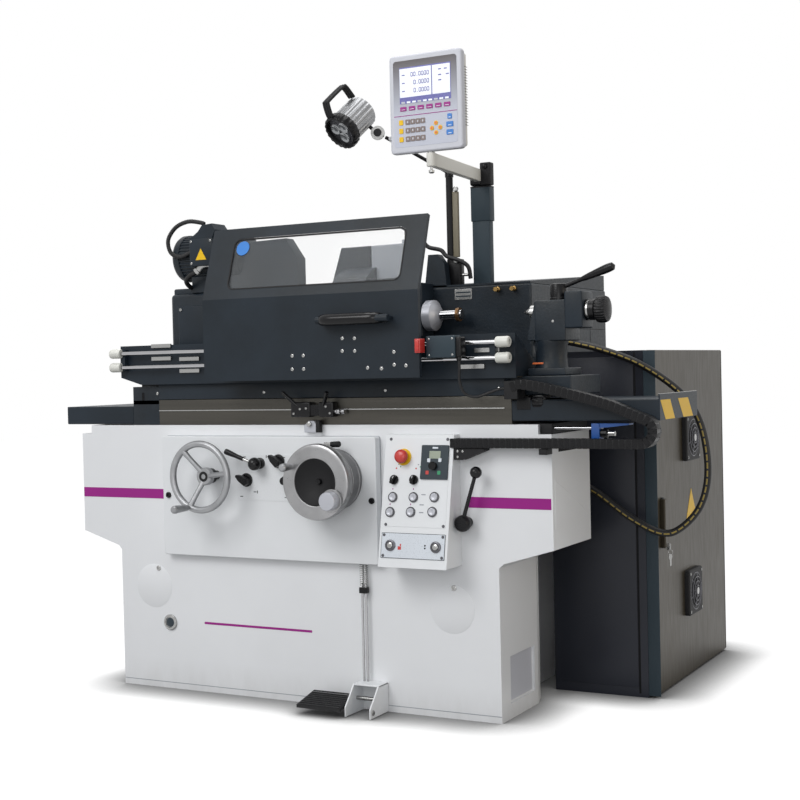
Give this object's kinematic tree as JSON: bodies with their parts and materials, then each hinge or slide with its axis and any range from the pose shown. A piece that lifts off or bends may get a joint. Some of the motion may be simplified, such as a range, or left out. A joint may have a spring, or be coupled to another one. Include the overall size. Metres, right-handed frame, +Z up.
{
  "type": "cylindrical grinding machine",
  "caption": "Cylindrical grinding machine with a sliding table, workhead, tailstock, wheelhead, guard door, console, readout, lamp and side cabinet.",
  "frame": {"origin": "On the floor, under the middle of the bounding box of everything but the coolant hose.", "axes": "+X is the table's way, to the right of the operator; +Y points from the operator to the back; +Z is up."},
  "size_m": [2.1057, 1.4724, 1.951],
  "materials": {
    "white_paint": "satin",
    "slate_paint": "semi-gloss",
    "black_plastic": "satin",
    "black_rubber": "matt",
    "ground_steel": "ground",
    "chrome_plate": "polished",
    "silver_metal": "satin",
    "wheel_abrasive": "coarse",
    "clear_pane": "clear",
    "red_plastic": "gloss",
    "blue_paint": "semi-gloss",
    "grey_plastic": "satin"
  },
  "bodies": {
    "machine": {"bed_casting": "white_paint", "front_panel": "white_paint", "control_console": "white_paint", "infeed_drum": "silver_metal", "reversing_bracket": "silver_metal", "energy_chain": "black_plastic", "table_stop": "blue_paint", "coolant_hose": "black_rubber", "cabinet_shell": "slate_paint", "pedal_bracket": "white_paint"},
    "table": {"lower_table": "ground_steel", "upper_table": "slate_paint", "left_way_cover": "slate_paint", "right_way_cover": "slate_paint", "table_dogs": "silver_metal", "workhead_body": "slate_paint", "workhead_motor": "slate_paint", "workhead_conduit": "black_rubber", "tailstock_body": "slate_paint", "guard_rail_plate": "slate_paint", "lower_rail": "chrome_plate", "upper_rail": "chrome_plate", "interlock_switch": "grey_plastic", "interlock_cable": "black_rubber"},
    "wheelhead": {"wheelhead_body": "slate_paint", "wheel_guard": "slate_paint", "wheel_motor": "slate_paint", "internal_grinding_spindle": "silver_metal", "readout_column": "slate_paint", "lamp_pole": "black_plastic"},
    "door": {"guard_door": "slate_paint", "guard_window": "clear_pane"},
    "workhead_spindle": {"workhead_spindle": "chrome_plate"},
    "tailstock_quill": {"tailstock_quill": "chrome_plate"},
    "tailstock_knob": {"tailstock_knob": "black_plastic"},
    "tailstock_lever": {"tailstock_lever": "black_plastic"},
    "grinding_wheel": {"grinding_wheel": "wheel_abrasive"},
    "readout_arm": {"readout_arm": "silver_metal"},
    "readout_display": {"readout_display": "grey_plastic"},
    "lamp_arm": {"lamp_arm": "black_plastic"},
    "lamp_head": {"lamp_head": "silver_metal"},
    "cabinet_door": {"cabinet_door": "slate_paint"},
    "foot_pedal": {"foot_pedal": "black_rubber"},
    "table_handwheel": {"table_handwheel": "silver_metal"},
    "infeed_handwheel": {"infeed_handwheel": "silver_metal"},
    "fine_feed_knob": {"fine_feed_knob": "chrome_plate"},
    "traverse_lever": {"traverse_lever": "black_plastic"},
    "feed_mode_knob": {"feed_mode_knob": "black_plastic"},
    "dwell_knob": {"dwell_knob": "black_plastic"},
    "hand_lever": {"hand_lever": "black_plastic"},
    "start_button": {"start_button": "black_plastic"},
    "coolant_button": {"coolant_button": "black_plastic"},
    "reset_button": {"reset_button": "black_plastic"},
    "wheel_button": {"wheel_button": "black_plastic"},
    "work_button": {"work_button": "black_plastic"},
    "stop_button": {"stop_button": "black_plastic"},
    "left_selector": {"left_selector": "black_plastic"},
    "right_selector": {"right_selector": "black_plastic"},
    "emergency_stop": {"emergency_stop": "red_plastic"}
  },
  "joints": [
    {"name": "table_traverse", "type": "slide", "parent": "machine", "child": "table", "axis": [1, 0, 0], "range_m": [-0.3, 0]},
    {"name": "wheelhead_infeed", "type": "slide", "parent": "machine", "child": "wheelhead", "axis": [0, 1, 0], "range_m": [-0.025, 0.025]},
    {"name": "guard_door_slide", "type": "slide", "parent": "table", "child": "door", "axis": [1, 0, 0], "range_m": [-0.36, 0]},
    {"name": "workhead_spindle_turn", "type": "hinge", "parent": "table", "child": "workhead_spindle", "pos_m": [-0.2745, -0.42585, 1.184], "axis": [1, 0, 0], "continuous": true},
    {"name": "tailstock_quill_slide", "type": "slide", "parent": "table", "child": "tailstock_quill", "axis": [-1, 0, 0], "range_m": [0, 0.03]},
    {"name": "tailstock_knob_turn", "type": "hinge", "parent": "table", "child": "tailstock_knob", "pos_m": [0.8058, -0.43585, 1.184], "axis": [1, 0, 0], "range_deg": [-180, 180]},
    {"name": "tailstock_lever_turn", "type": "hinge", "parent": "table", "child": "tailstock_lever", "pos_m": [0.7205, -0.43585, 1.2151], "axis": [0, 0, 1], "range_deg": [-60, 60]},
    {"name": "grinding_wheel_turn", "type": "hinge", "parent": "wheelhead", "child": "grinding_wheel", "pos_m": [-0.0395, -0.19585, 1.184], "axis": [1, 0, 0], "continuous": true},
    {"name": "readout_arm_swing", "type": "hinge", "parent": "wheelhead", "child": "readout_arm", "pos_m": [0.3205, -0.07085, 1.607], "axis": [0, 0, 1], "range_deg": [0, 70]},
    {"name": "readout_display_turn", "type": "hinge", "parent": "readout_arm", "child": "readout_display", "pos_m": [0.3585, -0.50785, 1.668], "axis": [0, 0, 1], "range_deg": [-30, 30]},
    {"name": "lamp_arm_swing", "type": "hinge", "parent": "wheelhead", "child": "lamp_arm", "pos_m": [0.2285, -0.12585, 1.64], "axis": [0, 0, 1], "range_deg": [-60, 0]},
    {"name": "lamp_head_tilt", "type": "hinge", "parent": "lamp_arm", "child": "lamp_head", "pos_m": [0.1085, -0.37585, 1.76], "axis": [1, 0, 0], "range_deg": [-25, 35]},
    {"name": "cabinet_door_swing", "type": "hinge", "parent": "machine", "child": "cabinet_door", "pos_m": [0.8655, 0.73415, 0.54], "axis": [0, 0, 1], "range_deg": [0, 110]},
    {"name": "table_handwheel_turn", "type": "hinge", "parent": "machine", "child": "table_handwheel", "pos_m": [-0.4045, -0.64585, 0.706], "axis": [0, 1, 0], "range_deg": [-2800, 10]},
    {"name": "infeed_handwheel_turn", "type": "hinge", "parent": "machine", "child": "infeed_handwheel", "pos_m": [0.0355, -0.64385, 0.7], "axis": [0, 1, 0], "range_deg": [-1805, 1805]},
    {"name": "fine_feed_knob_turn", "type": "hinge", "parent": "infeed_handwheel", "child": "fine_feed_knob", "pos_m": [0.0975, -0.68085, 0.648], "axis": [0, 1, 0], "continuous": true},
    {"name": "traverse_lever_turn", "type": "hinge", "parent": "machine", "child": "traverse_lever", "pos_m": [-0.2375, -0.58985, 0.745], "axis": [0, 1, 0], "range_deg": [-25, 25]},
    {"name": "feed_mode_knob_turn", "type": "hinge", "parent": "machine", "child": "feed_mode_knob", "pos_m": [-0.2895, -0.55585, 0.692], "axis": [0, 1, 0], "range_deg": [-60, 60]},
    {"name": "dwell_knob_turn", "type": "hinge", "parent": "machine", "child": "dwell_knob", "pos_m": [-0.1685, -0.55585, 0.752], "axis": [0, 1, 0], "range_deg": [-60, 60]},
    {"name": "hand_lever_turn", "type": "hinge", "parent": "machine", "child": "hand_lever", "pos_m": [0.4615, -0.56785, 0.58], "axis": [0, 1, 0], "range_deg": [-12, 40]},
    {"name": "start_button_press", "type": "slide", "parent": "machine", "child": "start_button", "axis": [0, 0.9962, -0.0875], "range_m": [0, 0.004], "stiffness_N_per_m": 400, "springref_m": -0.003},
    {"name": "coolant_button_press", "type": "slide", "parent": "machine", "child": "coolant_button", "axis": [0, 0.9962, -0.0875], "range_m": [0, 0.004], "stiffness_N_per_m": 400, "springref_m": -0.003},
    {"name": "reset_button_press", "type": "slide", "parent": "machine", "child": "reset_button", "axis": [0, 0.9962, -0.0875], "range_m": [0, 0.004], "stiffness_N_per_m": 400, "springref_m": -0.003},
    {"name": "wheel_button_press", "type": "slide", "parent": "machine", "child": "wheel_button", "axis": [0, 0.9962, -0.0875], "range_m": [0, 0.004], "stiffness_N_per_m": 400, "springref_m": -0.003},
    {"name": "work_button_press", "type": "slide", "parent": "machine", "child": "work_button", "axis": [0, 0.9962, -0.0875], "range_m": [0, 0.004], "stiffness_N_per_m": 400, "springref_m": -0.003},
    {"name": "stop_button_press", "type": "slide", "parent": "machine", "child": "stop_button", "axis": [0, 0.9962, -0.0875], "range_m": [0, 0.004], "stiffness_N_per_m": 400, "springref_m": -0.003},
    {"name": "emergency_stop_press", "type": "slide", "parent": "machine", "child": "emergency_stop", "axis": [0, 0.9962, -0.0875], "range_m": [0, 0.005], "stiffness_N_per_m": 1500, "springref_m": -0.003},
    {"name": "left_selector_turn", "type": "hinge", "parent": "machine", "child": "left_selector", "pos_m": [0.2525, -0.59545, 0.704], "axis": [0, 0.9962, -0.0875], "range_deg": [-45, 45]},
    {"name": "right_selector_turn", "type": "hinge", "parent": "machine", "child": "right_selector", "pos_m": [0.3175, -0.59536, 0.705], "axis": [0, 0.9962, -0.0875], "range_deg": [-45, 45]},
    {"name": "foot_pedal_press", "type": "hinge", "parent": "machine", "child": "foot_pedal", "pos_m": [0.1015, -0.57085, 0.045], "axis": [1, 0, 0], "range_deg": [0, 8], "stiffness_Nm_per_rad": 5, "springref_deg": -20.05}
  ],
  "couplings": [
    {"joint": "table_handwheel_turn", "follows": "table_traverse", "rad_per_m": 157.08},
    {"joint": "infeed_handwheel_turn", "follows": "wheelhead_infeed", "rad_per_m": -1256.6}
  ]
}
